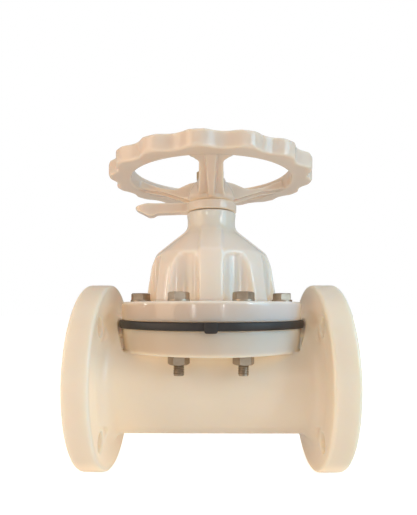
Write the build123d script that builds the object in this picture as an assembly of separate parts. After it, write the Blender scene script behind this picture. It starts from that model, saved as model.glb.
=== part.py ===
from build123d import *
from math import cos, pi, sin, tanh
import os

# A flanged weir-type diaphragm valve, 3 inch (DN 80), in natural polypropylene, shown closed.
# Millimetres. Origin: where the spindle axis crosses the pipe axis.
# +X runs along the pipe, +Z up along the spindle, and the two pipe flanges face -X and +X.

# ---- Driving dimensions -------------------------------------------------------------------

FREE_GAP = 0.05
PRESS_GAP = 0.02

FACE_TO_FACE = 254.0
BORE_RADIUS = 40.0
BARREL_RADIUS = 58.5

PIPE_FLANGE_RADIUS = 95.25
PIPE_FLANGE_THICKNESS = 24.0
PIPE_BOLT_CIRCLE_RADIUS = 76.2
PIPE_BOLT_HOLE_RADIUS = 9.5
PIPE_BOLT_ANGLES = [45, 135, 225, 315]
SPOT_FACE_RADIUS = 14.0
FLANGE_ROOT_FILLET = 14.0
FLANGE_EDGE_ROUNDING = 2.5
GASKET_GROOVE_RADII = [48, 54, 60]
GASKET_GROOVE_WIDTH = 1.0
GASKET_GROOVE_DEPTH = 0.8

BODY_FLANGE_RADIUS = 92.0
BODY_FLANGE_BOTTOM = 29.0
SEAT_Z = 52.0
RELIEF_GAP = 4.6
DIAPHRAGM_THICKNESS = 7.0
DIAPHRAGM_RADIUS = 95.4
TAB_HALF_WIDTH = 5.7
BONNET_FLANGE_RADIUS = 92.6
BONNET_FLANGE_THICKNESS = 18.6

BOWL_CENTRE_Z = 79.0
BOWL_RADIUS = 64.0
SHELL_THICKNESS = 6.5
STUD_DISC_RADIUS = 10.0
STUD_DISC_BOTTOM = 24.0
STUD_DISC_TOP = 27.0
STUD_TOP = 43.5
STUD_BOSS_RADIUS = 13.0

BONNET_BOLT_CIRCLE_RADIUS = 75.5
BOLT_CLEARANCE_RADIUS = 5.5
LONG_BOLT_ANGLES = [67.5, 112.5, 247.5, 292.5]
SHORT_BOLT_ANGLES = [22.5, 157.5, 202.5, 337.5]
INSERT_NUT_RADIUS = 8.0
INSERT_NUT_BOTTOM = 33.1

M10_RADIUS = 5.0
M10_HEAD_ACROSS_FLATS = 17.0
M10_HEAD_HEIGHT = 6.4
M10_NUT_HEIGHT = 8.0
WASHER_THICKNESS = 2.0
WASHER_RADIUS = 10.0
LONG_BOLT_LENGTH = 68.5
SHORT_BOLT_LENGTH = 42.0

SPINDLE_RADIUS = 12.0
SPINDLE_FOOT_RADIUS = 14.0
SPINDLE_FOOT_Z = 47.02
SPINDLE_TOP_RADIUS = 10.0
SPINDLE_SHOULDER_Z = 182.2
SPINDLE_TOP_Z = 217.0
PIN_RADIUS = 3.0
PIN_GROOVE_RADIUS = 9.0
PIN_Z = 62.0
PIN_OFFSET = PIN_GROOVE_RADIUS + PIN_RADIUS + FREE_GAP
PIN_LENGTH = 31.0

DISH_RADIUS = 46.0
COMPRESSOR_BOSS_RADIUS = 20.0
GUIDE_HALF_WIDTH = 7.0
GUIDE_HALF_LENGTH = 54.2
GUIDE_CLEARANCE = 0.1

BAND_HALF_WIDTH = 10.8
BAND_HEIGHT = 1.3
POCKET_RADIUS = 20.0
POCKET_TOP_Z = 123.5
NECK_RADIUS = 24.9
NECK_TOP_Z = 170.8
BUSH_RADIUS = 18.0
BUSH_FLANGE_RADIUS = 26.0
BUSH_BOTTOM_Z = 136.0
BUSH_SEAT_Z = 142.0
BUSH_TOP_Z = 171.6
BUSH_SCREW_ANGLES = [45, 165, 285]
BUSH_SCREW_CIRCLE_RADIUS = 22.0
BUSH_SCREW_RADIUS = 2.5
BUSH_SCREW_HEAD_RADIUS = 4.25
BUSH_SCREW_HEAD_HEIGHT = 5.0

LOCK_RING_BOTTOM = 171.65
LOCK_RING_TOP = 181.0
LOCK_RING_RADIUS = 26.3
LOCK_NUT_RADIUS = 17.0

HUB_BOTTOM = 181.8
HUB_TOP = 202.5
HUB_INSERT_RADIUS = 14.5
KEY_HALF_WIDTH = 3.0
KEY_SEAT_RADIUS = 6.5
KEY_OUTER_RADIUS = 12.5
KEY_BOTTOM = 184.0
KEY_TOP = 200.0
HUB_WASHER_RADIUS = 17.0
HUB_WASHER_TOP = 204.0
HUB_NUT_ACROSS_FLATS = 28.0
HUB_NUT_TOP = 214.0

RIM_BOTTOM = 203.3
RIM_TOP = 218.3
RIM_MEAN_RADIUS = 102.4
RIM_INNER_RADIUS = 81.5
LOBE_COUNT = 15
LOBE_HEIGHT = 3.1
LOBE_SHARPNESS = 0.65
LOBE_START_ANGLE = -72.5
SPOKE_ANGLES = [30, 150, 270]

# ---- Places that follow from them ---------------------------------------------------------

END_X = FACE_TO_FACE / 2
INNER_FLANGE_X = END_X - PIPE_FLANGE_THICKNESS
CLAMP_Z = SEAT_Z + DIAPHRAGM_THICKNESS
BONNET_FLANGE_TOP = CLAMP_Z + BONNET_FLANGE_THICKNESS
BOLT_HEAD_Z = BONNET_FLANGE_TOP + WASHER_THICKNESS
BONNET_BOLT_ANGLES = LONG_BOLT_ANGLES + SHORT_BOLT_ANGLES
SHELL_OUTER = BOWL_RADIUS - FREE_GAP
SHELL_INNER = SHELL_OUTER - SHELL_THICKNESS
WEIR_TOP_Z = BOWL_CENTRE_Z - BOWL_RADIUS


# ---- Helpers ------------------------------------------------------------------------------

def turned(*corners):
    """Solid of revolution about the spindle axis, from (radius, height, corner rounding)."""
    points = [(radius, height) for radius, height, _ in corners]
    line = FilletPolyline(*points, radius=[r for _, _, r in corners], close=True)
    return revolve(Plane.XZ * make_face(line), Axis.Z)


def plate(*corners, plane, thickness):
    """Flat plate from (x, y, corner rounding) corners, half its thickness on each side."""
    points = [(x, y) for x, y, _ in corners]
    line = FilletPolyline(*points, radius=[r for _, _, r in corners], close=True)
    return extrude(plane * make_face(line), amount=thickness / 2, both=True)


def rod(radius, bottom, top):
    """Upright cylinder between two heights."""
    return Pos(0, 0, bottom) * Cylinder(
        radius, top - bottom, align=(Align.CENTER, Align.CENTER, Align.MIN)
    )


def ring(inner, outer, bottom, top):
    """Upright tube between two heights."""
    return rod(outer, bottom, top) - rod(inner, bottom - 1, top + 1)


def block(low, high):
    """Box between two corners."""
    size = [b - a for a, b in zip(low, high)]
    return Pos(*low) * Box(*size, align=(Align.MIN, Align.MIN, Align.MIN))


def bowl(radius):
    """Ball about the centre of the diaphragm's closed shape."""
    return Pos(0, 0, BOWL_CENTRE_Z) * Sphere(radius)


def around(shape, radius, angles):
    """Copies of an upright shape on a circle about the spindle axis."""
    return [Rot(0, 0, angle) * (Pos(radius, 0, 0) * shape) for angle in angles]


def without(shape, cuts):
    for cut in cuts:
        shape -= cut
    return shape


def hexagon(across_flats, bottom, top, both_ends=False):
    """Hexagonal prism with its corners turned off, at the top or at both ends."""
    corner = across_flats / 2 / cos(pi / 6)
    prism = Pos(0, 0, bottom) * extrude(RegularPolygon(corner, 6), amount=top - bottom)
    drop = (corner - across_flats / 2) * 0.6
    face = across_flats / 2 * 0.97
    wide = corner + 0.1
    prism &= turned((0, bottom - 1, 0), (wide, bottom - 1, 0), (wide, top - drop, 0),
                    (face, top, 0), (0, top, 0))
    if both_ends:
        prism &= turned((0, bottom, 0), (face, bottom, 0), (wide, bottom + drop, 0),
                        (wide, top + 1, 0), (0, top + 1, 0))
    return prism


# ---- Body and its metal inserts -----------------------------------------------------------

def flanged_barrel():
    """The barrel with a pipe flange at each end, along X."""
    edge = FLANGE_EDGE_ROUNDING
    shape = turned(
        (0, -END_X, 0), (PIPE_FLANGE_RADIUS, -END_X, edge),
        (PIPE_FLANGE_RADIUS, -INNER_FLANGE_X, edge),
        (BARREL_RADIUS, -INNER_FLANGE_X, FLANGE_ROOT_FILLET),
        (BARREL_RADIUS, INNER_FLANGE_X, FLANGE_ROOT_FILLET),
        (PIPE_FLANGE_RADIUS, INNER_FLANGE_X, edge),
        (PIPE_FLANGE_RADIUS, END_X, edge), (0, END_X, 0),
    )
    return Rot(0, 90, 0) * shape


def weir():
    """The saddle across the bore. The bowl trims its crest, which the diaphragm closes on."""
    ramp = [(-68, -42), (-50, -36), (-30, -17), (-16, 4), (-8, 18)]
    crest = [(-8, 18), (-6, 46), (6, 46), (8, 18)]
    rear = [(-x, z) for x, z in reversed(ramp)]
    outline = Spline(*ramp) + Polyline(*crest) + Spline(*rear) + Line(rear[-1], ramp[0])
    saddle = extrude(Plane.XZ * make_face(outline), amount=BORE_RADIUS + 5, both=True)
    return saddle & (Rot(0, 90, 0) * Cylinder(BORE_RADIUS + 0.5, 140))


def pipe_bolt_holes():
    """Through holes in both pipe flanges, each spot-faced on the inner side."""
    spot_face_depth = FLANGE_ROOT_FILLET + 1
    hole = rod(PIPE_BOLT_HOLE_RADIUS, INNER_FLANGE_X - 1, END_X + 1)
    hole += rod(SPOT_FACE_RADIUS, INNER_FLANGE_X - spot_face_depth, INNER_FLANGE_X)
    holes = around(hole, PIPE_BOLT_CIRCLE_RADIUS, PIPE_BOLT_ANGLES)
    return [Rot(0, end, 0) * cut for end in (-90, 90) for cut in holes]


def gasket_grooves():
    half = GASKET_GROOVE_WIDTH / 2
    bottom = END_X - GASKET_GROOVE_DEPTH
    grooves = [ring(radius - half, radius + half, bottom, END_X + 1) for radius in GASKET_GROOVE_RADII]
    return [Rot(0, end, 0) * groove for end in (-90, 90) for groove in grooves]


def valve_body():
    flange_bottom, flange_radius = BODY_FLANGE_BOTTOM, BODY_FLANGE_RADIUS
    shell = flanged_barrel()
    shell -= rod(flange_radius + RELIEF_GAP, flange_bottom + 1, PIPE_FLANGE_RADIUS + 5)
    shell += turned(
        (0, flange_bottom, 0), (flange_radius, flange_bottom, 1.5),
        (flange_radius, SEAT_Z, 0.8), (0, SEAT_Z, 0),
    )
    shell -= Rot(0, 90, 0) * Cylinder(BORE_RADIUS, FACE_TO_FACE + 2)
    shell += weir()
    shell -= bowl(BOWL_RADIUS)
    shell = without(shell, pipe_bolt_holes() + gasket_grooves())
    through = rod(BOLT_CLEARANCE_RADIUS, 0, SEAT_Z + 1)
    pocket = rod(INSERT_NUT_RADIUS + FREE_GAP, INSERT_NUT_BOTTOM - 0.1, SEAT_Z + 1)
    shell = without(shell, around(through, BONNET_BOLT_CIRCLE_RADIUS, LONG_BOLT_ANGLES))
    return without(shell, around(pocket, BONNET_BOLT_CIRCLE_RADIUS, SHORT_BOLT_ANGLES))


def body_inserts():
    floor_top = INSERT_NUT_BOTTOM + 2.4
    insert = ring(M10_RADIUS + FREE_GAP, INSERT_NUT_RADIUS, floor_top, SEAT_Z - 0.1)
    insert += rod(INSERT_NUT_RADIUS, INSERT_NUT_BOTTOM, floor_top)
    return around(insert, BONNET_BOLT_CIRCLE_RADIUS, SHORT_BOLT_ANGLES)


# ---- Diaphragm ----------------------------------------------------------------------------

def diaphragm():
    rim = turned(
        (0, SEAT_Z, 0), (DIAPHRAGM_RADIUS, SEAT_Z, 1.2),
        (DIAPHRAGM_RADIUS, CLAMP_Z, 1.2), (0, CLAMP_Z, 0),
    )
    tab = plate(
        (-TAB_HALF_WIDTH, SEAT_Z - 2, 2.5), (TAB_HALF_WIDTH, SEAT_Z - 2, 2.5),
        (TAB_HALF_WIDTH, CLAMP_Z, 0), (-TAB_HALF_WIDTH, CLAMP_Z, 0),
        plane=Plane.XZ.offset(DIAPHRAGM_RADIUS - 0.3), thickness=6.0,
    )
    shell = rim + (bowl(SHELL_OUTER) & rod(BOWL_RADIUS, 0, CLAMP_Z)) - bowl(SHELL_INNER)
    shell += rod(STUD_BOSS_RADIUS, WEIR_TOP_Z + 3, STUD_DISC_TOP + 5)
    shell += tab
    shell -= rod(STUD_DISC_RADIUS + FREE_GAP, STUD_DISC_BOTTOM - FREE_GAP, STUD_DISC_TOP + FREE_GAP)
    shell -= rod(M10_RADIUS + FREE_GAP, STUD_DISC_TOP - 1, STUD_TOP)
    hole = rod(BOLT_CLEARANCE_RADIUS, SEAT_Z - 5, CLAMP_Z + 5)
    return without(shell, around(hole, BONNET_BOLT_CIRCLE_RADIUS, BONNET_BOLT_ANGLES))


def diaphragm_stud():
    disc = rod(STUD_DISC_RADIUS, STUD_DISC_BOTTOM, STUD_DISC_TOP)
    return disc + rod(M10_RADIUS, STUD_DISC_TOP, STUD_TOP)


# ---- Compressor ---------------------------------------------------------------------------

def compressor():
    """The iron pusher: a ribbed dish, a boss round the spindle's foot and a cross guide."""
    ball = bowl(SHELL_INNER - FREE_GAP)
    dish = ball & rod(DISH_RADIUS, 0, 50.0)
    dish -= bowl(SHELL_INNER - 8.0)
    rib = plate(
        (16, 20, 0), (45.5, 38, 0), (45.5, 50, 3), (22, 60, 3), (16, 60, 0),
        plane=Plane.XZ, thickness=5.0,
    )
    for spoke in around(rib, 0, range(0, 360, 45)):
        dish += spoke & ball
    boss_radius, boss_top = COMPRESSOR_BOSS_RADIUS, 72.0
    dish += rod(boss_radius, 20.0, boss_top) & (ball + rod(boss_radius, 50.0, boss_top))
    half_width = GUIDE_HALF_WIDTH - GUIDE_CLEARANCE
    half_length = GUIDE_HALF_LENGTH - 2 * GUIDE_CLEARANCE
    dish += block((-half_width, -half_length, CLAMP_Z + 0.6), (half_width, half_length, boss_top - 1))
    dish -= rod(STUD_BOSS_RADIUS + 0.5, 0, STUD_DISC_TOP + 5.5)
    dish -= rod(M10_RADIUS + FREE_GAP, STUD_DISC_TOP + 3, STUD_TOP + 0.5)
    dish -= rod(SPINDLE_FOOT_RADIUS + FREE_GAP, SPINDLE_FOOT_Z - 2.02, boss_top + 8)
    hole = Rot(0, 90, 0) * Cylinder(PIN_RADIUS + PRESS_GAP, 60)
    return without(dish, pin_places(hole))


def pin_places(shape):
    """A shape along X at both pins, one each side of the spindle's groove."""
    return [Pos(0, side * PIN_OFFSET, PIN_Z) * shape for side in (-1, 1)]


def spindle_pins():
    return pin_places(Rot(0, 90, 0) * Cylinder(PIN_RADIUS, PIN_LENGTH))


def thrust_washer():
    return ring(4.0, SPINDLE_FOOT_RADIUS - 0.5, SPINDLE_FOOT_Z - 2, SPINDLE_FOOT_Z - PRESS_GAP)


# ---- Spindle ------------------------------------------------------------------------------

def spindle():
    foot, body, top = SPINDLE_FOOT_RADIUS, SPINDLE_RADIUS, SPINDLE_TOP_RADIUS
    groove = PIN_GROOVE_RADIUS
    groove_bottom = PIN_Z - PIN_RADIUS - FREE_GAP
    groove_top = PIN_Z + PIN_RADIUS + FREE_GAP
    foot_top = 69.0
    screw = turned(
        (0, SPINDLE_FOOT_Z, 0), (foot - 1, SPINDLE_FOOT_Z, 0), (foot, SPINDLE_FOOT_Z + 1, 0),
        (foot, groove_bottom, 0), (groove, groove_bottom, 0), (groove, groove_top, 0),
        (foot, groove_top, 0), (foot, foot_top, 0), (body, foot_top, 0),
        (body, SPINDLE_SHOULDER_Z, 0), (top, SPINDLE_SHOULDER_Z, 0), (top, SPINDLE_TOP_Z - 1.5, 0),
        (top - 1.5, SPINDLE_TOP_Z, 0), (0, SPINDLE_TOP_Z, 0),
    )
    return screw - block((KEY_SEAT_RADIUS, -KEY_HALF_WIDTH, KEY_BOTTOM - FREE_GAP),
                         (KEY_OUTER_RADIUS + 1, KEY_HALF_WIDTH, KEY_TOP + FREE_GAP))


# ---- Bonnet and bush ----------------------------------------------------------------------

def dome(offset):
    """The bonnet's outer shape above its flange; offset sinks the cone above the shoulder."""
    return turned(
        (0, CLAMP_Z, 0), (68.4, CLAMP_Z, 0), (68.2, BONNET_FLANGE_TOP, 0),
        (62.4, 114.0, 30), (57.6 - 0.62 * offset, 127.0 - 0.78 * offset, 10),
        (NECK_RADIUS, 153.2 - 1.26 * offset, 12),
        (NECK_RADIUS, 164.0, 20), (26.0, NECK_TOP_Z, 0.6), (0, NECK_TOP_Z, 0),
    )


def bonnet_cavity():
    """Room for the compressor, its cross guide and the bush."""
    cavity_radius, inner_neck_radius = 48.0, 29.0
    cavity = turned(
        (0, CLAMP_Z - 1, 0), (cavity_radius, CLAMP_Z - 1, 0), (cavity_radius, 111.0, 6),
        (inner_neck_radius, 133.0, 3), (inner_neck_radius, BUSH_SEAT_Z, 0),
        (BUSH_RADIUS + PRESS_GAP, BUSH_SEAT_Z, 0),
        (BUSH_RADIUS + PRESS_GAP, NECK_TOP_Z + 2, 0), (0, NECK_TOP_Z + 2, 0),
    )
    guide = block((-GUIDE_HALF_WIDTH, -GUIDE_HALF_LENGTH, CLAMP_Z - 1),
                  (GUIDE_HALF_WIDTH, GUIDE_HALF_LENGTH, 110.5))
    return cavity + guide


def bonnet():
    """Dome and flange, with a spanner pocket at each bolt between four upright bands."""
    flange = turned(
        (0, CLAMP_Z, 0), (BONNET_FLANGE_RADIUS, CLAMP_Z, 0.8),
        (BONNET_FLANGE_RADIUS, BONNET_FLANGE_TOP, 1.5), (0, BONNET_FLANGE_TOP, 0),
    )
    pocket = turned(
        (0, BONNET_FLANGE_TOP, 0), (POCKET_RADIUS, BONNET_FLANGE_TOP, 0),
        (POCKET_RADIUS, POCKET_TOP_Z, 1.5), (0, POCKET_TOP_Z, 0),
    )
    shell = dome(BAND_HEIGHT)
    shell = without(shell, around(pocket, BONNET_BOLT_CIRCLE_RADIUS, BONNET_BOLT_ANGLES))
    half = BAND_HALF_WIDTH
    bands = block((-90, -half, CLAMP_Z), (90, half, 160)) + block((-half, -90, CLAMP_Z), (half, 90, 160))
    shell += dome(0.0) & bands
    shell += flange
    hole = rod(BOLT_CLEARANCE_RADIUS, CLAMP_Z - 1, BONNET_FLANGE_TOP + 1)
    shell = without(shell, around(hole, BONNET_BOLT_CIRCLE_RADIUS, BONNET_BOLT_ANGLES))
    shell -= bonnet_cavity()
    screw_hole = rod(BUSH_SCREW_RADIUS + PRESS_GAP, BUSH_SEAT_Z - 1, BUSH_SEAT_Z + 8)
    return without(shell, around(screw_hole, BUSH_SCREW_CIRCLE_RADIUS, BUSH_SCREW_ANGLES))


def bonnet_bush():
    bore = SPINDLE_RADIUS + FREE_GAP
    flange_top = BUSH_SEAT_Z - PRESS_GAP
    bush = turned(
        (bore, BUSH_BOTTOM_Z, 0), (BUSH_FLANGE_RADIUS, BUSH_BOTTOM_Z, 0.8),
        (BUSH_FLANGE_RADIUS, flange_top, 0), (BUSH_RADIUS, flange_top, 0),
        (BUSH_RADIUS, BUSH_TOP_Z, 0.6), (bore, BUSH_TOP_Z, 0),
    )
    hole = rod(BUSH_SCREW_RADIUS + 0.1, BUSH_BOTTOM_Z - 5, BUSH_SEAT_Z + 5)
    return without(bush, around(hole, BUSH_SCREW_CIRCLE_RADIUS, BUSH_SCREW_ANGLES))


def bush_screws():
    seat = BUSH_BOTTOM_Z - PRESS_GAP
    bottom = seat - BUSH_SCREW_HEAD_HEIGHT
    screw = rod(BUSH_SCREW_HEAD_RADIUS, bottom, seat) + rod(BUSH_SCREW_RADIUS, seat, BUSH_SEAT_Z + 7.5)
    socket = extrude(RegularPolygon(2.3, 6), amount=3.5)
    screw -= Pos(0, 0, bottom - 1) * socket
    return around(screw, BUSH_SCREW_CIRCLE_RADIUS, BUSH_SCREW_ANGLES)


# ---- Lock lever ---------------------------------------------------------------------------

def lock_lever():
    """A collar with one arm, thin at the end and with a thumb lump underneath."""
    arm = plate(
        (-20, LOCK_RING_BOTTOM, 0), (-57, 170.3, 6), (-61.5, 167.8, 3), (-66.5, 167.8, 4),
        (-72.5, 171.2, 6), (-79.4, 174.2, 2), (-79.4, 177.4, 2), (-67, LOCK_RING_TOP, 8),
        (-20, LOCK_RING_TOP, 0),
        plane=Plane.XZ, thickness=40.0,
    )
    seen_from_above = plate(
        (-14, -12, 0), (-30, -7.5, 12), (-60, -6.5, 20), (-72, -8.5, 10), (-80, -7, 6),
        (-80, 7, 6), (-72, 8.5, 10), (-60, 6.5, 20), (-30, 7.5, 12), (-14, 12, 0),
        plane=Plane.XY.offset(175), thickness=40.0,
    )
    collar = turned(
        (0, LOCK_RING_BOTTOM, 0), (LOCK_RING_RADIUS, LOCK_RING_BOTTOM, 1.0),
        (LOCK_RING_RADIUS, LOCK_RING_TOP, 2.0), (0, LOCK_RING_TOP, 0),
    )
    hole = rod(LOCK_NUT_RADIUS + PRESS_GAP, LOCK_RING_BOTTOM - 10, LOCK_RING_TOP + 10)
    return collar + (arm & seen_from_above) - hole


def lock_lever_nut():
    return ring(SPINDLE_RADIUS + FREE_GAP, LOCK_NUT_RADIUS, LOCK_RING_BOTTOM, LOCK_RING_TOP)


# ---- Handwheel ----------------------------------------------------------------------------

def lobed_outline():
    """The rim's outer outline: rounded finger lobes all round."""
    points = []
    steps = LOBE_COUNT * 8
    for i in range(steps):
        turn = 2 * pi * i / steps
        wave = tanh(LOBE_SHARPNESS * cos(LOBE_COUNT * turn)) / tanh(LOBE_SHARPNESS)
        radius = RIM_MEAN_RADIUS + LOBE_HEIGHT * wave
        points.append((radius * cos(turn), radius * sin(turn)))
    return Spline(*points, periodic=True)


def handwheel_rim():
    outer = Rot(0, 0, LOBE_START_ANGLE) * make_face(lobed_outline())
    rim = Pos(0, 0, RIM_BOTTOM) * extrude(outer, amount=RIM_TOP - RIM_BOTTOM)
    widest = RIM_MEAN_RADIUS + LOBE_HEIGHT + 0.5
    rounding = turned(
        (0, RIM_BOTTOM, 0), (widest - 2.1, RIM_BOTTOM, 0), (widest, RIM_BOTTOM + 3.5, 3),
        (widest, RIM_TOP - 3.5, 3), (widest - 2.1, RIM_TOP, 0), (0, RIM_TOP, 0),
    )
    hollow = turned(
        (0, RIM_BOTTOM - 1, 0), (RIM_INNER_RADIUS + 2.6, RIM_BOTTOM - 1, 0),
        (RIM_INNER_RADIUS, RIM_BOTTOM + 8, 20), (RIM_INNER_RADIUS, RIM_TOP + 1, 0),
        (0, RIM_TOP + 1, 0),
    )
    return (rim & rounding) - hollow


def spoke():
    """One spoke, drawn along +X: a web that climbs from the hub to the rim, with a keel below."""
    web = plate(
        (12, 184.0, 0), (26, 187.5, 12), (60, 200.5, 40), (88, 206.0, 0), (88, 215.0, 0),
        (82, 214.5, 8), (58, 204.0, 40), (38, 199.6, 20), (20, HUB_TOP, 0), (12, HUB_TOP, 0),
        plane=Plane.XZ, thickness=60.0,
    )
    web_plan = plate(
        (12, -15.0, 0), (30, -12.4, 20), (70, -10.8, 12), (84, -25.0, 0), (90, -25.0, 0),
        (90, 25.0, 0), (84, 25.0, 0), (70, 10.8, 12), (30, 12.4, 20), (12, 15.0, 0),
        plane=Plane.XY.offset(200), thickness=60.0,
    )
    keel = plate(
        (20, 182.6, 0), (28, 184.4, 10), (60, 197.0, 40), (84, RIM_BOTTOM, 0), (88, 212.0, 0),
        (20, 195.0, 0),
        plane=Plane.XZ, thickness=30.0,
    )
    keel_plan = plate(
        (20, -1.2, 0), (27, -3.4, 3), (88, -5.2, 0), (88, 5.2, 0), (27, 3.4, 3), (20, 1.2, 0),
        plane=Plane.XY.offset(200), thickness=60.0,
    )
    return (web & web_plan) + (keel & keel_plan)


def handwheel():
    """The lobed rim on three spokes, with a hub that narrows upward."""
    wheel = handwheel_rim()
    wheel += turned(
        (0, HUB_BOTTOM, 0), (21.0, HUB_BOTTOM, 1.0), (25.0, 186.0, 5), (23.0, 193.0, 12),
        (18.0, HUB_TOP, 1.0), (0, HUB_TOP, 0),
    )
    for angle in SPOKE_ANGLES:
        wheel += Rot(0, 0, angle) * spoke()
    return wheel - rod(HUB_INSERT_RADIUS + PRESS_GAP, HUB_BOTTOM - 5, HUB_TOP + 5)


def handwheel_insert():
    insert = ring(SPINDLE_TOP_RADIUS + PRESS_GAP, HUB_INSERT_RADIUS, SPINDLE_SHOULDER_Z + FREE_GAP, HUB_TOP)
    half_width = KEY_HALF_WIDTH + PRESS_GAP
    return insert - block((0.0, -half_width, 180.0), (KEY_OUTER_RADIUS + 0.1, half_width, 210.0))


def handwheel_key():
    half_width = KEY_HALF_WIDTH - PRESS_GAP
    return block((KEY_SEAT_RADIUS + PRESS_GAP, -half_width, KEY_BOTTOM),
                 (KEY_OUTER_RADIUS, half_width, KEY_TOP))


def handwheel_washer():
    return ring(SPINDLE_TOP_RADIUS + 0.3, HUB_WASHER_RADIUS, HUB_TOP + PRESS_GAP, HUB_WASHER_TOP)


def handwheel_nut():
    nut = hexagon(HUB_NUT_ACROSS_FLATS, HUB_WASHER_TOP + PRESS_GAP, HUB_NUT_TOP, both_ends=True)
    hole = rod(SPINDLE_TOP_RADIUS + FREE_GAP, HUB_WASHER_TOP - 4, HUB_NUT_TOP + 4)
    return Rot(0, 0, 30) * (nut - hole)


# ---- Bonnet fasteners ---------------------------------------------------------------------

def bolt(length):
    head = hexagon(M10_HEAD_ACROSS_FLATS, BOLT_HEAD_Z, BOLT_HEAD_Z + M10_HEAD_HEIGHT)
    tip = BOLT_HEAD_Z - length
    shank = turned(
        (0, tip, 0), (M10_RADIUS - 1, tip, 0), (M10_RADIUS, tip + 1, 0),
        (M10_RADIUS, BOLT_HEAD_Z, 0), (0, BOLT_HEAD_Z, 0),
    )
    return head + shank


def bonnet_bolts_long():
    return around(bolt(LONG_BOLT_LENGTH), BONNET_BOLT_CIRCLE_RADIUS, LONG_BOLT_ANGLES)


def bonnet_bolts_short():
    return around(bolt(SHORT_BOLT_LENGTH), BONNET_BOLT_CIRCLE_RADIUS, SHORT_BOLT_ANGLES)


def bonnet_washers():
    washer = ring(M10_RADIUS + 0.25, WASHER_RADIUS, BONNET_FLANGE_TOP, BOLT_HEAD_Z)
    return around(washer, BONNET_BOLT_CIRCLE_RADIUS, BONNET_BOLT_ANGLES)


def bonnet_nuts():
    bottom = BODY_FLANGE_BOTTOM - M10_NUT_HEIGHT
    nut = hexagon(M10_HEAD_ACROSS_FLATS, bottom, BODY_FLANGE_BOTTOM, both_ends=True)
    nut -= rod(M10_RADIUS + FREE_GAP, bottom - 1, BODY_FLANGE_BOTTOM + 1)
    return around(nut, BONNET_BOLT_CIRCLE_RADIUS, LONG_BOLT_ANGLES)


# ---- Writing the pieces -------------------------------------------------------------------

PIECES = [
    valve_body, body_inserts, diaphragm, diaphragm_stud, compressor, spindle_pins, thrust_washer,
    spindle, bonnet, bonnet_bush, bush_screws, lock_lever, lock_lever_nut, handwheel,
    handwheel_insert, handwheel_key, handwheel_washer, handwheel_nut, bonnet_bolts_long,
    bonnet_bolts_short, bonnet_washers, bonnet_nuts,
]

os.makedirs("parts", exist_ok=True)
for piece in PIECES:
    shape = piece()
    if isinstance(shape, list):
        shape = Compound(children=shape)
    export_step(shape, f"parts/{piece.__name__}.step")
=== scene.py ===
import math

import bmesh
import bpy
import numpy as np
from mathutils import Matrix, Vector
from mathutils.bvhtree import BVHTree


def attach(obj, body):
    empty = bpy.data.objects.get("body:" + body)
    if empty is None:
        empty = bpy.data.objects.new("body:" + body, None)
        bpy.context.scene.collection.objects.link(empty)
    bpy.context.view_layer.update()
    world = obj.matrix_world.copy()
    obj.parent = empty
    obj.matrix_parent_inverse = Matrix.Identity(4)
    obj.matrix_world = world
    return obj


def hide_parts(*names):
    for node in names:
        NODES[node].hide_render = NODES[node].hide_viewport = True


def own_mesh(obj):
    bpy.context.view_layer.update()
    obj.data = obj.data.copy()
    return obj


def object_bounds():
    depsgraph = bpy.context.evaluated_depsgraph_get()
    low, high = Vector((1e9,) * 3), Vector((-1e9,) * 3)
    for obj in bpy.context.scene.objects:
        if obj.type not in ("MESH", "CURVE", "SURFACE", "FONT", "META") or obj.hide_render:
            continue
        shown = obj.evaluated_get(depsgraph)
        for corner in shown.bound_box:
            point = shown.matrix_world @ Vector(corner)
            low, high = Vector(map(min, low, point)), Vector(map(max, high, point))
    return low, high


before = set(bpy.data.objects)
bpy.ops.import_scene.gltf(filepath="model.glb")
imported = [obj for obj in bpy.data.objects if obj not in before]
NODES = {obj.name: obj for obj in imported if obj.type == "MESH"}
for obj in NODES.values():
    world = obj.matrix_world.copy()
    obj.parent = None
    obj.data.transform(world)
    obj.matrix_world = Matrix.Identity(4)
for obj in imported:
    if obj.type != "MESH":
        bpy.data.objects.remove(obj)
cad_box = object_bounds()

MM = 0.001


# ---------------------------------------------------------------- camera, floor and light

FLOOR_HEIGHT = cad_box[0].z
FLOOR_HALF = 8.0
CAMERA_PLACE = (0.0016, -0.4522, 0.0711)
CAMERA_TURN = 0.009
LENS = 29.93
SENSOR = 36.0
SHIFT = (-0.001, 0.0989)
WINDOW_DISTANCE = 1.3


def link(obj):
    bpy.context.scene.collection.objects.link(obj)
    return obj


def make_camera():
    """A level camera just above the bonnet joint, close enough for a strong perspective."""
    data = bpy.data.cameras.new("camera")
    data.lens = LENS
    data.sensor_width = SENSOR
    data.shift_x, data.shift_y = SHIFT
    camera = link(bpy.data.objects.new("camera", data))
    camera.location = CAMERA_PLACE
    camera.rotation_euler = (math.radians(90), 0, CAMERA_TURN)
    bpy.context.scene.camera = camera


def area_light(name, place, aim, size, power, colour):
    data = bpy.data.lights.new(name, "AREA")
    data.shape = "RECTANGLE"
    data.size, data.size_y = size
    data.energy = power
    data.color = colour
    light = link(bpy.data.objects.new(name, data))
    light.location = place
    light.rotation_mode = "QUATERNION"
    light.rotation_quaternion = (Vector(aim) - Vector(place)).to_track_quat("-Z", "Y")


def strip_light(name, azimuth, low, high, width, power, colour):
    """A tall narrow window at an azimuth, counted from the camera's side towards +X."""
    x = WINDOW_DISTANCE * math.sin(math.radians(azimuth))
    y = -WINDOW_DISTANCE * math.cos(math.radians(azimuth))
    middle = (low + high) / 2
    area_light(name, (x, y, middle), (0, 0, middle), (width, high - low), power, colour)


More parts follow.
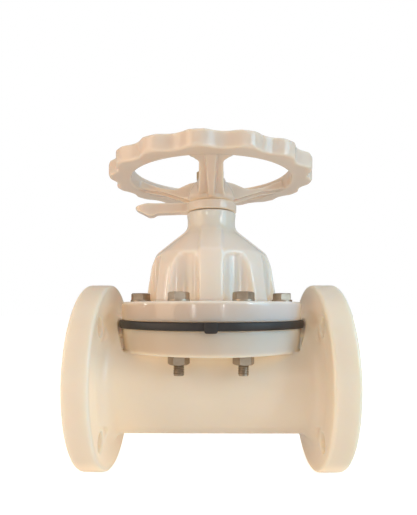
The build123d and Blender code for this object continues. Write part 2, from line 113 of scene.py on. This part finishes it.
def make_lights():
    """Soft light from three sides, and the narrow windows that show as streaks in the gloss."""
    area_light("key_left", (-0.8, -0.55, 0.4), (0, 0, 0.05), (0.5, 0.9), 3.75, (1.0, 0.77, 0.56))
    area_light("fill_right", (0.85, -0.5, 0.5), (0, 0, 0.08), (0.5, 0.9), 5.6, (0.36, 0.73, 1.0))
    area_light("top", (0.1, -0.1, 1.1), (0, 0, 0.1), (0.9, 0.9), 1.6, (0.95, 0.98, 1.0))
    strip_light("window_left", -85, 0.1, 0.6, 0.06, 1.2, (1.0, 0.95, 0.9))
    strip_light("window_front", 14, 0.08, 0.2, 0.04, 0.4, (1, 1, 1))
    strip_light("window_low", -20, 0.07, 0.15, 0.05, 0.35, (1, 1, 1))
    strip_light("window_right", 47, 0.2, 0.6, 0.12, 1.6, (0.95, 0.98, 1.0))


def make_world():
    """Plain white behind the object, and a softer, slightly warm light from all round on it."""
    world = bpy.data.worlds.new("studio")
    world.use_nodes = True
    tree = world.node_tree
    tree.nodes.clear()
    output = tree.nodes.new("ShaderNodeOutputWorld")
    mix = tree.nodes.new("ShaderNodeMixShader")
    path = tree.nodes.new("ShaderNodeLightPath")
    seen = tree.nodes.new("ShaderNodeBackground")
    lit = tree.nodes.new("ShaderNodeBackground")
    seen.inputs["Color"].default_value = (1, 1, 1, 1)
    seen.inputs["Strength"].default_value = 1.0
    lit.inputs["Color"].default_value = (0.98, 0.94, 0.90, 1)
    lit.inputs["Strength"].default_value = 0.45
    tree.links.new(path.outputs["Is Camera Ray"], mix.inputs["Fac"])
    tree.links.new(lit.outputs["Background"], mix.inputs[1])
    tree.links.new(seen.outputs["Background"], mix.inputs[2])
    tree.links.new(mix.outputs["Shader"], output.inputs["Surface"])
    bpy.context.scene.world = world


def make_floor():
    """A wide pale floor that the valve stands on, bright enough to run into the background."""
    mesh = bpy.data.meshes.new("floor")
    corners = [(x * FLOOR_HALF, y * FLOOR_HALF, 0) for x, y in ((-1, -1), (1, -1), (1, 1), (-1, 1))]
    mesh.from_pydata(corners, [], [(0, 1, 2, 3)])
    floor = link(bpy.data.objects.new("floor", mesh))
    floor.location.z = FLOOR_HEIGHT
    material, tree, shader = principled("floor_paper")
    shader.inputs["Base Color"].default_value = (0.86, 0.8, 0.72, 1)
    shader.inputs["Roughness"].default_value = 0.9
    path = tree.nodes.new("ShaderNodeLightPath")
    glow = tree.nodes.new("ShaderNodeMath")
    glow.operation = "MULTIPLY_ADD"
    glow.inputs[1].default_value = 0.62
    glow.inputs[2].default_value = 0.2
    tree.links.new(path.outputs["Is Camera Ray"], glow.inputs[0])
    shader.inputs["Emission Color"].default_value = (1.0, 0.98, 0.95, 1)
    tree.links.new(glow.outputs[0], shader.inputs["Emission Strength"])
    mesh.materials.append(material)


# ---------------------------------------------------------------- materials

def principled(name):
    material = bpy.data.materials.new(name)
    material.use_nodes = True
    tree = material.node_tree
    return material, tree, tree.nodes["Principled BSDF"]


def position_noise(tree, scale, detail=3.0):
    """Noise fixed in the object's own space."""
    place = tree.nodes.new("ShaderNodeTexCoord")
    noise = tree.nodes.new("ShaderNodeTexNoise")
    noise.inputs["Scale"].default_value = scale
    noise.inputs["Detail"].default_value = detail
    tree.links.new(place.outputs["Object"], noise.inputs["Vector"])
    return noise.outputs["Fac"]


def ramp(tree, value, low, high, to_low=0.0, to_high=1.0):
    node = tree.nodes.new("ShaderNodeMapRange")
    node.interpolation_type = "SMOOTHSTEP"
    node.inputs["From Min"].default_value = low
    node.inputs["From Max"].default_value = high
    node.inputs["To Min"].default_value = to_low
    node.inputs["To Max"].default_value = to_high
    tree.links.new(value, node.inputs["Value"])
    return node.outputs["Result"]


def mixed(tree, factor, first, second, mode="MIX"):
    """Mix of two colours; each is a socket or three numbers."""
    node = tree.nodes.new("ShaderNodeMix")
    node.data_type = "RGBA"
    node.blend_type = mode
    for name, value in (("A", first), ("B", second)):
        if isinstance(value, tuple):
            node.inputs[name].default_value = (*value, 1)
        else:
            tree.links.new(value, node.inputs[name])
    if isinstance(factor, (int, float)):
        node.inputs["Factor"].default_value = factor
    else:
        tree.links.new(factor, node.inputs["Factor"])
    return node.outputs["Result"]


def add_bump(tree, shader, height, distance, strength=1.0):
    bump = tree.nodes.new("ShaderNodeBump")
    bump.inputs["Distance"].default_value = distance
    bump.inputs["Strength"].default_value = strength
    tree.links.new(height, bump.inputs["Height"])
    tree.links.new(bump.outputs["Normal"], shader.inputs["Normal"])


def maths(tree, operation, first, second=0.0):
    """A sum on one socket, with a number or another socket where it takes a second value."""
    node = tree.nodes.new("ShaderNodeMath")
    node.operation = operation
    tree.links.new(first, node.inputs[0])
    if isinstance(second, float):
        node.inputs[1].default_value = second
    else:
        tree.links.new(second, node.inputs[1])
    return node.outputs[0]


def object_place(tree):
    """The sockets of X, Y and Z in the object's own space."""
    place = tree.nodes.new("ShaderNodeTexCoord")
    split = tree.nodes.new("ShaderNodeSeparateXYZ")
    tree.links.new(place.outputs["Object"], split.inputs["Vector"])
    return [split.outputs[axis] for axis in "XYZ"]


def reach_of(tree, *sides):
    """The length of the vector with two sockets as its sides."""
    return maths(tree, "SQRT", maths(tree, "ADD", *[maths(tree, "POWER", side, 2.0) for side in sides]))


def within(tree, value, *bounds):
    """A value times one ramp for each (socket, from, to, value there, value beyond)."""
    for bound in bounds:
        value = maths(tree, "MULTIPLY", value, ramp(tree, *bound))
    return value


# Places on the body, in metres, that the materials treat on their own.
CLAMPED_RADIUS = (0.094, 0.097)
CLAMPED_TOP = (0.074, 0.0785)
CLAMPED_BOTTOM = (0.026, 0.034)
GASKET_BAND = (0.045, 0.063)
GROOVE_SPACING = 0.006
GROOVE_EDGE = (0.0021, 0.0029)
GROOVE_DEPTH = 0.0008
FLANGE_FACE = 0.1265
FLANGE_BACK = 0.103
BOLT_HOLE_SIDE = 0.0539
BOLT_HOLE_RADIUS = 0.0095
BORE_WALL = (0.05, 0.056)
RIM_EDGE = (0.088, 0.0945)

# The clamped flanges' tint at the left and the right: darker partly because the rubber between them
# shows through and partly as painted shade, warm on the left and cool on the right as painted light from
# those sides.
LEFT_WARM_PAINTED_TINT = (0.73, 0.67, 0.62)
RIGHT_COOL_PAINTED_TINT = (0.80, 0.86, 0.97)


def flange_shade(tree, colour):
    """The clamped flanges are darkened, partly because the rubber between them shows through and partly
    as painted shade, with painted warm light on the left and painted cool light on the right.
    """
    x, y, z = object_place(tree)
    shade = within(tree, ramp(tree, reach_of(tree, x, y), *CLAMPED_RADIUS, 1.0, 0.0),
                   (z, *CLAMPED_TOP, 1.0, 0.0), (z, *CLAMPED_BOTTOM, 0.0, 1.0))
    painted_tint = mixed(tree, ramp(tree, x, -0.05, 0.09), LEFT_WARM_PAINTED_TINT, RIGHT_COOL_PAINTED_TINT)
    return mixed(tree, shade, colour, mixed(tree, 1.0, colour, painted_tint, "MULTIPLY"))


def gasket_rings(tree):
    """1 on the three fine grooves that hold the gasket on each pipe flange's face, 0 elsewhere."""
    x, y, z = object_place(tree)
    reach = reach_of(tree, y, z)
    inner, outer = GASKET_BAND
    waves = maths(tree, "PINGPONG", maths(tree, "SUBTRACT", reach, inner), GROOVE_SPACING / 2)
    return within(tree, ramp(tree, waves, *GROOVE_EDGE),
                  (reach, inner, inner + 0.0005, 0.0, 1.0), (reach, outer - 0.0005, outer, 1.0, 0.0),
                  (maths(tree, "ABSOLUTE", x), FLANGE_FACE, FLANGE_FACE + 0.0003, 0.0, 1.0))


def painted_left_glow(tree):
    """A painted glow on the barrel's left third and the left flange's inner face, standing in for more
    light falling there.
    """
    x, y, z = object_place(tree)
    reach = reach_of(tree, y, z)
    return within(tree, ramp(tree, x, -0.106, -0.03, 0.17, 0.0),
                  (x, -0.112, -0.106, 0.0, 1.0), (z, 0.0, 0.035, 1.0, 0.3),
                  (reach, *BORE_WALL, 0.0, 1.0), (reach, *RIM_EDGE, 1.0, 0.0))


def beside_bolt_holes(tree):
    """1 away from the pipe flanges' bolt holes and less inside them."""
    x, y, z = object_place(tree)
    sides = [maths(tree, "SUBTRACT", maths(tree, "ABSOLUTE", side), BOLT_HOLE_SIDE) for side in (y, z)]
    hole = within(tree, ramp(tree, maths(tree, "ABSOLUTE", x), FLANGE_BACK - 0.003, FLANGE_BACK),
                  (reach_of(tree, *sides), BOLT_HOLE_RADIUS, BOLT_HOLE_RADIUS + 0.002, 1.0, 0.0))
    return ramp(tree, hole, 0.0, 1.0, 1.0, 0.35)


# Painted glow: a warm emission where little light falls from outside, standing in for light that has
# come through the walls.
PAINTED_GLOW = (1.0, 0.68, 0.34, 1)
PAINTED_GLOW_REACH = 0.035

# How many blotches of tone go into a metre of metal or rubber.
BLOTCH_SCALE = 60


def milky_plastic(name, light, dark, gloss, depth, grooved_with_painted_left_glow=False):
    """Unpigmented polypropylene: milky, a little see-through, with a soft moulded gloss."""
    material, tree, shader = principled(name)
    broad = position_noise(tree, 14, 0.0)
    colour = flange_shade(tree, mixed(tree, ramp(tree, broad, 0.1, 0.9), light, dark))
    tree.links.new(colour, shader.inputs["Base Color"])
    shader.inputs["Subsurface Weight"].default_value = 1.0
    shader.inputs["Subsurface Radius"].default_value = (1.0, 0.8, 0.62)
    shader.inputs["Subsurface Scale"].default_value = depth
    shader.inputs["IOR"].default_value = 1.49
    shader.inputs["Roughness"].default_value = gloss
    # Painted glow: a warm emission in hollows and creases, found by ambient occlusion, weaker in the
    # pipe flanges' bolt holes.
    hollow = tree.nodes.new("ShaderNodeAmbientOcclusion")
    hollow.inputs["Distance"].default_value = PAINTED_GLOW_REACH
    shader.inputs["Emission Color"].default_value = PAINTED_GLOW
    open_share = hollow.outputs["AO"]
    glow = within(tree, ramp(tree, open_share, 0.2, 0.8, 0.18, 0.0), (open_share, 0.03, 0.3))
    # The grooved body also gets the painted glow on its left.
    if grooved_with_painted_left_glow:
        glow = maths(tree, "ADD", glow, painted_left_glow(tree))
    glow = maths(tree, "MULTIPLY", glow, beside_bolt_holes(tree))
    tree.links.new(glow, shader.inputs["Emission Strength"])
    if grooved_with_painted_left_glow:
        add_bump(tree, shader, maths(tree, "MULTIPLY", gasket_rings(tree), -1.0), GROOVE_DEPTH)
    else:
        add_bump(tree, shader, position_noise(tree, 380, 2.0), 0.0001, 0.12)
    return material


def metal(name, light, dark, low, high):
    """Bare or plated metal whose roughness wanders between low and high."""
    material, tree, shader = principled(name)
    broad = position_noise(tree, BLOTCH_SCALE)
    colour = mixed(tree, ramp(tree, broad, 0.3, 0.7), light, dark)
    tree.links.new(colour, shader.inputs["Base Color"])
    shader.inputs["Metallic"].default_value = 1.0
    tree.links.new(ramp(tree, broad, 0.2, 0.8, low, high), shader.inputs["Roughness"])
    add_bump(tree, shader, position_noise(tree, 900), 0.0001, 0.2)
    return material


def rubber():
    material, tree, shader = principled("black_rubber")
    broad = position_noise(tree, BLOTCH_SCALE)
    colour = mixed(tree, ramp(tree, broad, 0.3, 0.7), (0.012, 0.009, 0.008), (0.026, 0.020, 0.018))
    tree.links.new(colour, shader.inputs["Base Color"])
    tree.links.new(ramp(tree, broad, 0.2, 0.8, 0.42, 0.62), shader.inputs["Roughness"])
    add_bump(tree, shader, position_noise(tree, 700), 0.0002, 0.3)
    return material


# ---------------------------------------------------------------- mesh helpers

def new_piece(name, mesh, material, body, stands_for=(), sharp=None):
    """An object from a mesh, riding on a body in place of some CAD nodes."""
    piece = link(bpy.data.objects.new(name, mesh))
    mesh.materials.clear()
    mesh.materials.append(material)
    mesh.polygons.foreach_set("use_smooth", [True] * len(mesh.polygons))
    if sharp is not None:
        mesh.set_sharp_from_angle(angle=math.radians(sharp))
    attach(piece, body)
    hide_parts(*stands_for)
    return piece


FACET_DEPTH = 0.1 * MM
POINTS_PER_FLAT = 10


def smooth_points(mesh, rounds):
    """Moves every point half way to the mean of its neighbours, as often as rounds says."""
    count = len(mesh.vertices)
    points = np.empty(count * 3)
    mesh.vertices.foreach_get("co", points)
    points = points.reshape(-1, 3)
    edges = np.empty(len(mesh.edges) * 2, dtype=np.int64)
    mesh.edges.foreach_get("vertices", edges)
    first, second = edges.reshape(-1, 2).T
    degree = np.bincount(first, minlength=count) + np.bincount(second, minlength=count)
    for _ in range(rounds):
        total = np.empty_like(points)
        for axis in range(3):
            total[:, axis] = np.bincount(first, points[second, axis], count)
            total[:, axis] += np.bincount(second, points[first, axis], count)
        points += 0.5 * (total / degree[:, None] - points)
    mesh.vertices.foreach_set("co", points.ravel())
    mesh.update()


def on_curved_surface(node, even):
    """Puts each point on the curved surface that the CAD triangles and their normals describe."""
    cad = NODES[node].data
    cad.calc_loop_triangles()
    corners = np.array([t.vertices[:] for t in cad.loop_triangles])
    loops = np.array([t.loops[:] for t in cad.loop_triangles])
    places = np.array([v.co[:] for v in cad.vertices])[corners]
    normals = np.array([n.vector[:] for n in cad.corner_normals])[loops]
    tree = BVHTree.FromPolygons([v.co for v in cad.vertices], corners.tolist())
    hits = [tree.find_nearest(v.co) for v in even.vertices]
    points = np.array([h[0][:] for h in hits])
    faces = np.array([h[2] for h in hits])
    corner = places[faces]
    side_1 = corner[:, 1] - corner[:, 0]
    side_2 = corner[:, 2] - corner[:, 0]
    offset = points - corner[:, 0]
    dots = [(a * b).sum(1) for a, b in ((side_1, side_1), (side_1, side_2), (side_2, side_2),
                                        (offset, side_1), (offset, side_2))]
    scale = np.maximum(dots[0] * dots[2] - dots[1] ** 2, 1e-24)
    second = (dots[2] * dots[3] - dots[1] * dots[4]) / scale
    third = (dots[0] * dots[4] - dots[1] * dots[3]) / scale
    shares = np.clip(np.stack([1 - second - third, second, third], 1), 0, 1)
    away = ((points[:, None] - corner) * normals[faces]).sum(2)
    bulge = -0.5 * (shares[:, :, None] * away[:, :, None] * normals[faces]).sum(1)
    size = np.linalg.norm(bulge, axis=1)
    bulge *= np.minimum(1, FACET_DEPTH / np.maximum(size, 1e-12))[:, None]
    even.vertices.foreach_set("co", (points + bulge).ravel())
    even.update()


def moulded_copy(node, voxel, rounds):
    """A mesh of a CAD node's shape with evenly spread points and softly moulded edges."""
    mesh = NODES[node].data.copy()
    work = bmesh.new()
    work.from_mesh(mesh)
    bmesh.ops.remove_doubles(work, verts=work.verts, dist=1e-6)
    work.to_mesh(mesh)
    work.free()
    source = link(bpy.data.objects.new("source", mesh))
    remesh = source.modifiers.new("remesh", "REMESH")
    remesh.mode = "VOXEL"
    remesh.voxel_size = voxel
    even = bpy.data.meshes.new_from_object(source.evaluated_get(bpy.context.evaluated_depsgraph_get()))
    bpy.data.objects.remove(source)
    work = bmesh.new()
    work.from_mesh(even)
    bmesh.ops.remove_doubles(work, verts=work.verts, dist=0.4 * voxel)
    work.to_mesh(even)
    work.free()
    on_curved_surface(node, even)
    smooth_points(even, rounds)
    return even


def finished(name, points, faces):
    """A closed mesh with its normals outward."""
    mesh = bpy.data.meshes.new(name)
    mesh.from_pydata(points, [], faces)
    work = bmesh.new()
    work.from_mesh(mesh)
    bmesh.ops.remove_doubles(work, verts=work.verts, dist=1e-7)
    bmesh.ops.recalc_face_normals(work, faces=work.faces)
    work.to_mesh(mesh)
    work.free()
    return mesh


def loft(name, loops, joined=False):
    """Quads between loops of as many points each; the two ends are capped, or joined up."""
    count = len(loops[0])
    points = [p for loop in loops for p in loop]
    faces = []
    for i in range(len(loops) if joined else len(loops) - 1):
        low, high = i * count, (i + 1) % len(loops) * count
        for k in range(count):
            after = (k + 1) % count
            faces.append((low + k, low + after, high + after, high + k))
    if not joined:
        faces.append(tuple(reversed(range(count))))
        faces.append(tuple(range(len(points) - count, len(points))))
    return finished(name, points, faces)


def together(name, meshes):
    """One mesh of several closed ones."""
    work = bmesh.new()
    for mesh in meshes:
        work.from_mesh(mesh)
    whole = bpy.data.meshes.new(name)
    work.to_mesh(whole)
    work.free()
    return whole


def moved(mesh, x, y, turn):
    """A copy of a mesh turned about Z, in degrees, and moved sideways, in metres."""
    copy = mesh.copy()
    copy.transform(Matrix.Translation((x, y, 0)) @ Matrix.Rotation(math.radians(turn), 4, "Z"))
    return copy


def turned(name, profile, steps):
    """Profile points (radius, height) in mm turned about Z, closed up if neither end is on the axis."""
    turns = [2 * math.pi * k / steps for k in range(steps)]
    loops = [[(r * MM * math.cos(t), r * MM * math.sin(t), z * MM) for t in turns] for r, z in profile]
    return loft(name, loops, joined=profile[0][0] > 0 and profile[-1][0] > 0)


def threaded(name, parts, steps=36, rise=0.25):
    """A rod in mm from (low, high, outer radius, root radius, pitch) parts; no pitch is a plain part."""
    heights = []
    for low, high, outer, root, pitch in parts:
        count = max(2, round((high - low) / rise)) if pitch else 2
        heights += [(low + (high - low) * k / (count - 1), low, high, outer, root, pitch)
                    for k in range(count)]
    loops = []
    for z, low, high, outer, root, pitch in heights:
        loop = []
        for k in range(steps):
            share = k / steps
            radius = outer
            if pitch:
                phase = (z / pitch - share) % 1
                flank = min(1.0, max(0.0, 2.6 * abs(phase - 0.5) - 0.15))
                ends = min(1.0, (z - low) / 1.2, (high - z) / 1.2 + 0.3)
                radius = root + (outer - root) * flank * max(0.0, ends)
            angle = 2 * math.pi * share
            loop.append((radius * MM * math.cos(angle), radius * MM * math.sin(angle), z * MM))
        loops.append(loop)
    return loft(name, loops)


def hexagonal(name, across, low, high, both_ends=False):
    """A hexagon in mm with flats facing -Y and +Y, its ends turned down at the corners."""
    outline = []
    for side in range(6):
        for k in range(POINTS_PER_FLAT):
            lean = math.atan(math.tan(math.radians(30)) * (2 * k / POINTS_PER_FLAT - 1))
            outline.append((math.radians(60 * side - 90) + lean, across / 2 / math.cos(lean)))
    crown = across / 2 * 0.96
    slope = math.tan(math.radians(32))
    drop = [max(0.0, r - crown) * slope for _, r in outline]
    inset = [(a, min(r, crown)) for a, r in outline]

    def loop(ring, height):
        return [(r * MM * math.cos(a), r * MM * math.sin(a), h * MM)
                for (a, r), h in zip(ring, height)]

    top = [loop(outline, [high - d for d in drop]), loop(inset, [high] * len(drop))]
    if both_ends:
        bottom = [loop(inset, [low] * len(drop)), loop(outline, [low + d for d in drop])]
    else:
        bottom = [loop(outline, [low] * len(drop))]
    return loft(name, bottom + top)


def round_washer(name, inner, outer, low, high):
    edge = 0.25
    return turned(name, [(inner, low), (outer - edge, low), (outer, low + edge), (outer, high - edge),
                         (outer - edge, high), (inner, high)], 64)


def paint(names, material):
    for name in names:
        data = NODES[name].data
        data.materials.clear()
        data.materials.append(material)


make_camera()
make_world()
make_floor()
make_lights()
bpy.context.scene.view_settings.view_transform = "Standard"

BODY_PLASTIC = milky_plastic("body_plastic", (0.80, 0.70, 0.58), (0.76, 0.655, 0.525), 0.3, 0.016,
                             grooved_with_painted_left_glow=True)
BONNET_PLASTIC = milky_plastic("bonnet_plastic", (0.80, 0.69, 0.60), (0.77, 0.66, 0.56), 0.13, 0.018)
WHEEL_PLASTIC = milky_plastic("wheel_plastic", (0.71, 0.59, 0.49), (0.68, 0.56, 0.46), 0.15, 0.009)
RUBBER = rubber()
ZINC = metal("zinc_steel", (0.46, 0.38, 0.30), (0.31, 0.245, 0.185), 0.36, 0.5)
STEEL = metal("bare_steel", (0.62, 0.61, 0.59), (0.5, 0.49, 0.47), 0.2, 0.35)
BRASS = metal("brass", (0.78, 0.58, 0.28), (0.62, 0.44, 0.2), 0.22, 0.38)
DULL = metal("dull_zinc", (0.34, 0.27, 0.18), (0.26, 0.2, 0.13), 0.5, 0.65)
IRON = metal("grey_iron", (0.3, 0.31, 0.32), (0.22, 0.23, 0.24), 0.45, 0.65)

# ---------------------------------------------------------------- moulded parts

new_piece("moulded_body", moulded_copy("valve_body", 1.1 * MM, 4), BODY_PLASTIC, "valve",
          ["valve_body"])
new_piece("moulded_bonnet", moulded_copy("bonnet", 0.9 * MM, 10), BONNET_PLASTIC, "valve",
          ["bonnet"])
new_piece("moulded_wheel", moulded_copy("handwheel", 0.8 * MM, 6), WHEEL_PLASTIC, "wheel_unit",
          ["handwheel"])
new_piece("moulded_lever", moulded_copy("lock_lever", 0.6 * MM, 5), WHEEL_PLASTIC, "lock_unit",
          ["lock_lever"])


# ---------------------------------------------------------------- diaphragm

SEAT = 52.0
CLAMP = 59.0
BOWL_CENTRE = 79.0


def bowl_points(radius, first, last, count):
    """Points (radius, height) down a bowl from one height to another."""
    rows = []
    for k in range(count):
        z = first + (last - first) * (1 - math.cos(math.pi / 2 * k / (count - 1)))
        rows.append((math.sqrt(max(0.0, radius ** 2 - (BOWL_CENTRE - z) ** 2)), z))
    return rows


def diaphragm_pieces():
    """The clamped rim with its bulging edge and its tab, and the bowl that the compressor moves."""
    rim = turned("diaphragm_rim", [
        (60.4, SEAT), (94.5, SEAT), (95.0, SEAT + 0.5), (95.35, SEAT + 1.8), (95.4, SEAT + 3.5),
        (95.35, CLAMP - 1.8), (95.0, CLAMP - 0.5), (94.5, CLAMP), (60.4, CLAMP)], 256)
    outline = []
    for x, z, r, first in ((-5.7, 50.0, 2.2, 180), (5.7, 50.0, 2.2, 270), (5.7, 59.0, 0.8, 0),
                           (-5.7, 59.0, 0.8, 90)):
        centre = (x + (r if x < 0 else -r), z + (r if z < 55 else -r))
        for k in range(7):
            angle = math.radians(first + 15 * k)
            outline.append((centre[0] + r * math.cos(angle), centre[1] + r * math.sin(angle)))
    middle = (0.0, 54.5)
    loops = []
    for y, size in ((-93.0, 1.0), (-97.3, 1.0), (-97.9, 0.97), (-98.1, 0.9)):
        loops.append([((middle[0] + (x - middle[0]) * size) * MM, y * MM,
                       (middle[1] + (z - middle[1]) * size) * MM) for x, z in outline])
    tab = loft("diaphragm_tab", loops)
    new_piece("diaphragm_rim", together("diaphragm_rim", [rim, tab]), RUBBER, "valve",
              ["diaphragm"], sharp=50)
    outer, inner = 63.95, 57.45
    lowest = BOWL_CENTRE - outer
    profile = [(0.0, 23.7), (10.3, 23.7), (10.3, 27.3), (5.4, 27.3), (5.4, 31.6), (5.8, 32.0)]
    profile += [(12.4, 32.0), (13.0, 31.4)]
    profile += reversed(bowl_points(inner, CLAMP, 23.1, 20))
    profile += bowl_points(outer, CLAMP, lowest, 26)
    bowl = new_piece("diaphragm_bowl", turned("diaphragm_bowl", profile, 96), RUBBER, "valve",
                     sharp=50)
    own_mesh(bowl)


diaphragm_pieces()


# ---------------------------------------------------------------- bolts, nuts and spindle

BOLT_CIRCLE = 75.5 * MM
ACROSS_FLATS = 17.0
HEAD_LOW = 79.6
THREAD_LENGTH = 24.0
BOLT_RADIUS = 4.98

# How far each head and nut is turned, in degrees, by its angle on the bolt circle.
HEAD_TURNS = {22.5: 14, 67.5: 40, 112.5: -6, 157.5: 25,
              202.5: -8.4, 247.5: 11.3, 292.5: -9.3, 337.5: 18}
NUT_TURNS = {67.5: 12, 112.5: 33, 247.5: 5, 292.5: 8.1}


def on_bolt_circle(mesh, turns):
    copies = []
    for angle, turn in turns.items():
        x = BOLT_CIRCLE * math.cos(math.radians(angle))
        y = BOLT_CIRCLE * math.sin(math.radians(angle))
        copies.append(moved(mesh, x, y, turn))
    return copies


def bolts(name, tip, angles):
    head = hexagonal("head", ACROSS_FLATS, HEAD_LOW, 86.0)
    thread_end = tip + THREAD_LENGTH
    shank = threaded("shank", [(tip, thread_end, BOLT_RADIUS, 4.2, 1.5),
                               (thread_end + 0.01, HEAD_LOW + 0.6, BOLT_RADIUS, BOLT_RADIUS, 0)])
    turns = {a: HEAD_TURNS[a] for a in angles}
    mesh = together(name, on_bolt_circle(head, turns) + on_bolt_circle(shank, turns))
    new_piece("hex_" + name, mesh, ZINC, "valve", [name], sharp=35)


bolts("bonnet_bolts_long", 11.1, [67.5, 112.5, 247.5, 292.5])
bolts("bonnet_bolts_short", 37.6, [22.5, 157.5, 202.5, 337.5])
new_piece("round_washers", together("washers", on_bolt_circle(
    round_washer("washer", 5.3, 10.0, 77.6, HEAD_LOW), HEAD_TURNS)), ZINC, "valve",
    ["bonnet_washers"], sharp=35)
new_piece("hex_nuts", together("nuts", on_bolt_circle(
    hexagonal("nut", ACROSS_FLATS, 21.0, 29.0, both_ends=True), NUT_TURNS)), ZINC, "valve",
    ["bonnet_nuts"], sharp=35)

# The hub nut sits a little off centre, so that it shows only to the left of the front spoke.
HUB_NUT_OFFSET = -1.2 * MM

new_piece("threaded_spindle", threaded("spindle", [
    (47.02, 68.99, 14.0, 14.0, 0), (69.0, 181.0, 11.98, 9.7, 5.0), (181.01, 182.19, 11.0, 11.0, 0),
    (182.2, 203.99, 10.0, 10.0, 0), (204.0, 217.0, 9.98, 8.6, 2.5)], 48, 0.4),
    STEEL, "wheel_unit", ["spindle"], sharp=40)
hub_nut = moved(hexagonal("hub_nut", 28.0, 204.0, 214.0, both_ends=True), HUB_NUT_OFFSET, 0, 30)
new_piece("hex_hub_nut", hub_nut, DULL, "wheel_unit", ["handwheel_nut"], sharp=35)
new_piece("round_hub_washer", round_washer("hub_washer", 10.3, 14.6, 202.5, 204.0), DULL,
          "wheel_unit", ["handwheel_washer"], sharp=35)

paint(["spindle_pins", "bush_screws", "handwheel_insert", "handwheel_key", "diaphragm_stud"], STEEL)
paint(["bonnet_bush", "thrust_washer", "lock_lever_nut", "body_inserts"], BRASS)
paint(["compressor"], IRON)
